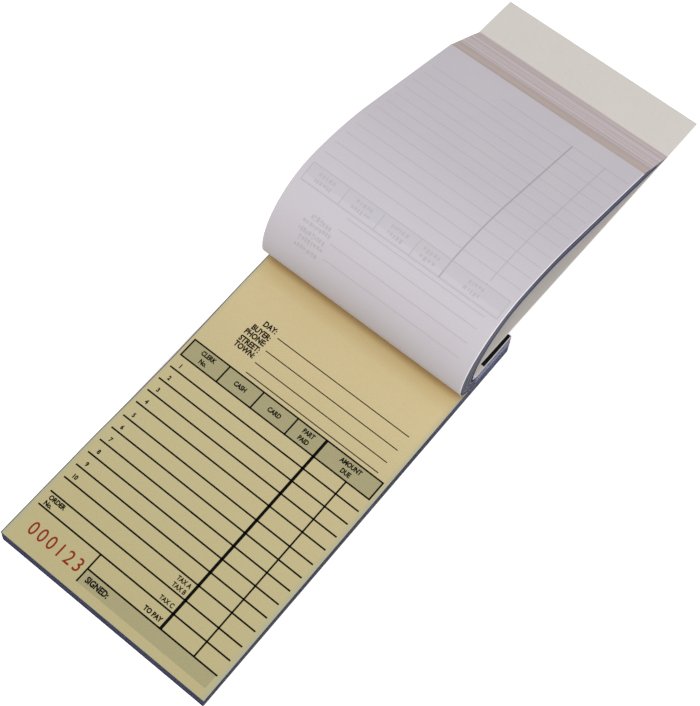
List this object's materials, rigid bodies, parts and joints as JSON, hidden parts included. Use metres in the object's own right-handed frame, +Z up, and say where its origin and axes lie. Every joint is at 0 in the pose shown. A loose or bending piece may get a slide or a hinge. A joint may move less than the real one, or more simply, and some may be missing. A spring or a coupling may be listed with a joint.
{
  "type": "sales book",
  "caption": "Open top-bound sales book: carbonless forms between board covers, stapled and taped at the head, with the used forms looped back over the folded front cover.",
  "frame": {"origin": "middle of the closed book's underside, on the back cover", "axes": "+Z up from the back cover, +Y from the foot of the form towards the bound head and along the turned forms, +X across the width"},
  "size_m": [0.086, 0.2769, 0.0435],
  "materials": {
    "board": "uncoated grey chipboard",
    "form_paper": "matt carbonless paper, bluish at its cut edges",
    "white_paper": "matt white carbonless paper",
    "yellow_paper": "matt canary carbonless paper with printed rules",
    "tape": "black cloth binding tape",
    "wire": "flat stitching wire"
  },
  "bodies": {
    "book": {"back_cover": "board", "unused_forms_1": "form_paper", "unused_forms_2": "form_paper", "unused_forms_3": "form_paper", "duplicate_leaf": "yellow_paper", "turned_stub_1": "form_paper", "turned_stub_2": "form_paper", "turned_stub_3": "form_paper", "turned_stub_4": "form_paper", "front_cover_stub": "board", "binding_tape": "tape", "staple_left": "wire", "staple_right": "wire"},
    "front_cover": {"front_cover": "board"},
    "pack_1_panel_1": {"pack_1_panel_1": "white_paper"},
    "pack_1_panel_2": {"pack_1_panel_2": "white_paper"},
    "pack_1_panel_3": {"pack_1_panel_3": "white_paper"},
    "pack_1_panel_4": {"pack_1_panel_4": "white_paper"},
    "pack_1_panel_5": {"pack_1_panel_5": "white_paper"},
    "pack_1_panel_6": {"pack_1_panel_6": "white_paper"},
    "pack_1_panel_7": {"pack_1_panel_7": "white_paper"},
    "pack_1_panel_8": {"pack_1_panel_8": "white_paper"},
    "pack_2_panel_1": {"pack_2_panel_1": "form_paper"},
    "pack_2_panel_2": {"pack_2_panel_2": "form_paper"},
    "pack_2_panel_3": {"pack_2_panel_3": "form_paper"},
    "pack_2_panel_4": {"pack_2_panel_4": "form_paper"},
    "pack_2_panel_5": {"pack_2_panel_5": "form_paper"},
    "pack_2_panel_6": {"pack_2_panel_6": "form_paper"},
    "pack_2_panel_7": {"pack_2_panel_7": "form_paper"},
    "pack_2_panel_8": {"pack_2_panel_8": "form_paper"},
    "pack_3_panel_1": {"pack_3_panel_1": "form_paper"},
    "pack_3_panel_2": {"pack_3_panel_2": "form_paper"},
    "pack_3_panel_3": {"pack_3_panel_3": "form_paper"},
    "pack_3_panel_4": {"pack_3_panel_4": "form_paper"},
    "pack_3_panel_5": {"pack_3_panel_5": "form_paper"},
    "pack_3_panel_6": {"pack_3_panel_6": "form_paper"},
    "pack_3_panel_7": {"pack_3_panel_7": "form_paper"},
    "pack_3_panel_8": {"pack_3_panel_8": "form_paper"},
    "pack_4_panel_1": {"pack_4_panel_1": "form_paper"},
    "pack_4_panel_2": {"pack_4_panel_2": "form_paper"},
    "pack_4_panel_3": {"pack_4_panel_3": "form_paper"},
    "pack_4_panel_4": {"pack_4_panel_4": "form_paper"},
    "pack_4_panel_5": {"pack_4_panel_5": "form_paper"},
    "pack_4_panel_6": {"pack_4_panel_6": "form_paper"},
    "pack_4_panel_7": {"pack_4_panel_7": "form_paper"},
    "pack_4_panel_8": {"pack_4_panel_8": "form_paper"}
  },
  "joints": [
    {"name": "cover_fold", "type": "hinge", "parent": "book", "child": "front_cover", "pos_m": [0, 0.06, 0.01355], "axis": [1, 0, 0], "range_deg": [0, 182.7]},
    {"name": "pack_1_roll", "type": "hinge", "parent": "book", "child": "pack_1_panel_4", "pos_m": [0, 0.05126, 0.00957], "axis": [1, 0, 0], "range_deg": [0, 105]},
    {"name": "pack_1_bend_3", "type": "hinge", "parent": "pack_1_panel_4", "child": "pack_1_panel_3", "pos_m": [0, 0.05021, 0.01654], "axis": [-1, 0, 0], "range_deg": [0, 30]},
    {"name": "pack_1_bend_2", "type": "hinge", "parent": "pack_1_panel_3", "child": "pack_1_panel_2", "pos_m": [0, 0.05152, 0.01165], "axis": [-1, 0, 0], "range_deg": [0, 30]},
    {"name": "pack_1_bend_1", "type": "hinge", "parent": "pack_1_panel_2", "child": "pack_1_panel_1", "pos_m": [0, 0.05511, 0.00806], "axis": [-1, 0, 0], "range_deg": [0, 30]},
    {"name": "pack_1_bend_4", "type": "hinge", "parent": "pack_1_panel_4", "child": "pack_1_panel_5", "pos_m": [0, 0.05382, 0.03002], "axis": [1, 0, 0], "range_deg": [0, 30]},
    {"name": "pack_1_bend_5", "type": "hinge", "parent": "pack_1_panel_5", "child": "pack_1_panel_6", "pos_m": [0, 0.06369, 0.03989], "axis": [1, 0, 0], "range_deg": [0, 30]},
    {"name": "pack_1_bend_6", "type": "hinge", "parent": "pack_1_panel_6", "child": "pack_1_panel_7", "pos_m": [0, 0.07717, 0.0435], "axis": [1, 0, 0], "range_deg": [0, 24.3]},
    {"name": "pack_1_bend_7", "type": "hinge", "parent": "pack_1_panel_7", "child": "pack_1_panel_8", "pos_m": [0, 0.1073, 0.03857], "axis": [1, 0, 0], "range_deg": [0, 9.3]},
    {"name": "pack_2_roll", "type": "hinge", "parent": "book", "child": "pack_2_panel_4", "pos_m": [0, 0.05298, 0.01051], "axis": [1, 0, 0], "range_deg": [0, 105]},
    {"name": "pack_2_bend_3", "type": "hinge", "parent": "pack_2_panel_4", "child": "pack_2_panel_3", "pos_m": [0, 0.05214, 0.01611], "axis": [-1, 0, 0], "range_deg": [0, 30]},
    {"name": "pack_2_bend_2", "type": "hinge", "parent": "pack_2_panel_3", "child": "pack_2_panel_2", "pos_m": [0, 0.05319, 0.01218], "axis": [-1, 0, 0], "range_deg": [0, 30]},
    {"name": "pack_2_bend_1", "type": "hinge", "parent": "pack_2_panel_2", "child": "pack_2_panel_1", "pos_m": [0, 0.05607, 0.0093], "axis": [-1, 0, 0], "range_deg": [0, 30]},
    {"name": "pack_2_bend_4", "type": "hinge", "parent": "pack_2_panel_4", "child": "pack_2_panel_5", "pos_m": [0, 0.05558, 0.02895], "axis": [1, 0, 0], "range_deg": [0, 30]},
    {"name": "pack_2_bend_5", "type": "hinge", "parent": "pack_2_panel_5", "child": "pack_2_panel_6", "pos_m": [0, 0.06498, 0.03834], "axis": [1, 0, 0], "range_deg": [0, 30]},
    {"name": "pack_2_bend_6", "type": "hinge", "parent": "pack_2_panel_6", "child": "pack_2_panel_7", "pos_m": [0, 0.07781, 0.04178], "axis": [1, 0, 0], "range_deg": [0, 24.3]},
    {"name": "pack_2_bend_7", "type": "hinge", "parent": "pack_2_panel_7", "child": "pack_2_panel_8", "pos_m": [0, 0.10747, 0.03693], "axis": [1, 0, 0], "range_deg": [0, 9.3]},
    {"name": "pack_3_roll", "type": "hinge", "parent": "book", "child": "pack_3_panel_4", "pos_m": [0, 0.05471, 0.01146], "axis": [1, 0, 0], "range_deg": [0, 105]},
    {"name": "pack_3_bend_3", "type": "hinge", "parent": "pack_3_panel_4", "child": "pack_3_panel_3", "pos_m": [0, 0.05407, 0.01568], "axis": [-1, 0, 0], "range_deg": [0, 30]},
    {"name": "pack_3_bend_2", "type": "hinge", "parent": "pack_3_panel_3", "child": "pack_3_panel_2", "pos_m": [0, 0.05486, 0.01272], "axis": [-1, 0, 0], "range_deg": [0, 30]},
    {"name": "pack_3_bend_1", "type": "hinge", "parent": "pack_3_panel_2", "child": "pack_3_panel_1", "pos_m": [0, 0.05704, 0.01054], "axis": [-1, 0, 0], "range_deg": [0, 30]},
    {"name": "pack_3_bend_4", "type": "hinge", "parent": "pack_3_panel_4", "child": "pack_3_panel_5", "pos_m": [0, 0.05734, 0.02787], "axis": [1, 0, 0], "range_deg": [0, 30]},
    {"name": "pack_3_bend_5", "type": "hinge", "parent": "pack_3_panel_5", "child": "pack_3_panel_6", "pos_m": [0, 0.06626, 0.0368], "axis": [1, 0, 0], "range_deg": [0, 30]},
    {"name": "pack_3_bend_6", "type": "hinge", "parent": "pack_3_panel_6", "child": "pack_3_panel_7", "pos_m": [0, 0.07846, 0.04007], "axis": [1, 0, 0], "range_deg": [0, 24.3]},
    {"name": "pack_3_bend_7", "type": "hinge", "parent": "pack_3_panel_7", "child": "pack_3_panel_8", "pos_m": [0, 0.10763, 0.03529], "axis": [1, 0, 0], "range_deg": [0, 9.3]},
    {"name": "pack_4_roll", "type": "hinge", "parent": "book", "child": "pack_4_panel_4", "pos_m": [0, 0.05643, 0.0124], "axis": [1, 0, 0], "range_deg": [0, 105]},
    {"name": "pack_4_bend_3", "type": "hinge", "parent": "pack_4_panel_4", "child": "pack_4_panel_3", "pos_m": [0, 0.056, 0.01525], "axis": [-1, 0, 0], "range_deg": [0, 30]},
    {"name": "pack_4_bend_2", "type": "hinge", "parent": "pack_4_panel_3", "child": "pack_4_panel_2", "pos_m": [0, 0.05654, 0.01325], "axis": [-1, 0, 0], "range_deg": [0, 30]},
    {"name": "pack_4_bend_1", "type": "hinge", "parent": "pack_4_panel_2", "child": "pack_4_panel_1", "pos_m": [0, 0.058, 0.01179], "axis": [-1, 0, 0], "range_deg": [0, 30]},
    {"name": "pack_4_bend_4", "type": "hinge", "parent": "pack_4_panel_4", "child": "pack_4_panel_5", "pos_m": [0, 0.0591, 0.0268], "axis": [1, 0, 0], "range_deg": [0, 30]},
    {"name": "pack_4_bend_5", "type": "hinge", "parent": "pack_4_panel_5", "child": "pack_4_panel_6", "pos_m": [0, 0.06755, 0.03526], "axis": [1, 0, 0], "range_deg": [0, 30]},
    {"name": "pack_4_bend_6", "type": "hinge", "parent": "pack_4_panel_6", "child": "pack_4_panel_7", "pos_m": [0, 0.0791, 0.03835], "axis": [1, 0, 0], "range_deg": [0, 24.3]},
    {"name": "pack_4_bend_7", "type": "hinge", "parent": "pack_4_panel_7", "child": "pack_4_panel_8", "pos_m": [0, 0.1078, 0.03365], "axis": [1, 0, 0], "range_deg": [0, 9.3]}
  ],
  "couplings": [
    {"joint": "pack_1_roll", "follows": "cover_fold", "ratio": 0.57471},
    {"joint": "pack_1_bend_3", "follows": "cover_fold", "ratio": 0.1642},
    {"joint": "pack_1_bend_2", "follows": "cover_fold", "ratio": 0.1642},
    {"joint": "pack_1_bend_1", "follows": "cover_fold", "ratio": 0.1642},
    {"joint": "pack_1_bend_4", "follows": "cover_fold", "ratio": 0.1642},
    {"joint": "pack_1_bend_5", "follows": "cover_fold", "ratio": 0.1642},
    {"joint": "pack_1_bend_6", "follows": "cover_fold", "ratio": 0.13299},
    {"joint": "pack_1_bend_7", "follows": "cover_fold", "ratio": 0.050887},
    {"joint": "pack_2_roll", "follows": "cover_fold", "ratio": 0.57471},
    {"joint": "pack_2_bend_3", "follows": "cover_fold", "ratio": 0.1642},
    {"joint": "pack_2_bend_2", "follows": "cover_fold", "ratio": 0.1642},
    {"joint": "pack_2_bend_1", "follows": "cover_fold", "ratio": 0.1642},
    {"joint": "pack_2_bend_4", "follows": "cover_fold", "ratio": 0.1642},
    {"joint": "pack_2_bend_5", "follows": "cover_fold", "ratio": 0.1642},
    {"joint": "pack_2_bend_6", "follows": "cover_fold", "ratio": 0.13299},
    {"joint": "pack_2_bend_7", "follows": "cover_fold", "ratio": 0.050887},
    {"joint": "pack_3_roll", "follows": "cover_fold", "ratio": 0.57471},
    {"joint": "pack_3_bend_3", "follows": "cover_fold", "ratio": 0.1642},
    {"joint": "pack_3_bend_2", "follows": "cover_fold", "ratio": 0.1642},
    {"joint": "pack_3_bend_1", "follows": "cover_fold", "ratio": 0.1642},
    {"joint": "pack_3_bend_4", "follows": "cover_fold", "ratio": 0.1642},
    {"joint": "pack_3_bend_5", "follows": "cover_fold", "ratio": 0.1642},
    {"joint": "pack_3_bend_6", "follows": "cover_fold", "ratio": 0.13299},
    {"joint": "pack_3_bend_7", "follows": "cover_fold", "ratio": 0.050887},
    {"joint": "pack_4_roll", "follows": "cover_fold", "ratio": 0.57471},
    {"joint": "pack_4_bend_3", "follows": "cover_fold", "ratio": 0.1642},
    {"joint": "pack_4_bend_2", "follows": "cover_fold", "ratio": 0.1642},
    {"joint": "pack_4_bend_1", "follows": "cover_fold", "ratio": 0.1642},
    {"joint": "pack_4_bend_4", "follows": "cover_fold", "ratio": 0.1642},
    {"joint": "pack_4_bend_5", "follows": "cover_fold", "ratio": 0.1642},
    {"joint": "pack_4_bend_6", "follows": "cover_fold", "ratio": 0.13299},
    {"joint": "pack_4_bend_7", "follows": "cover_fold", "ratio": 0.050887}
  ]
}
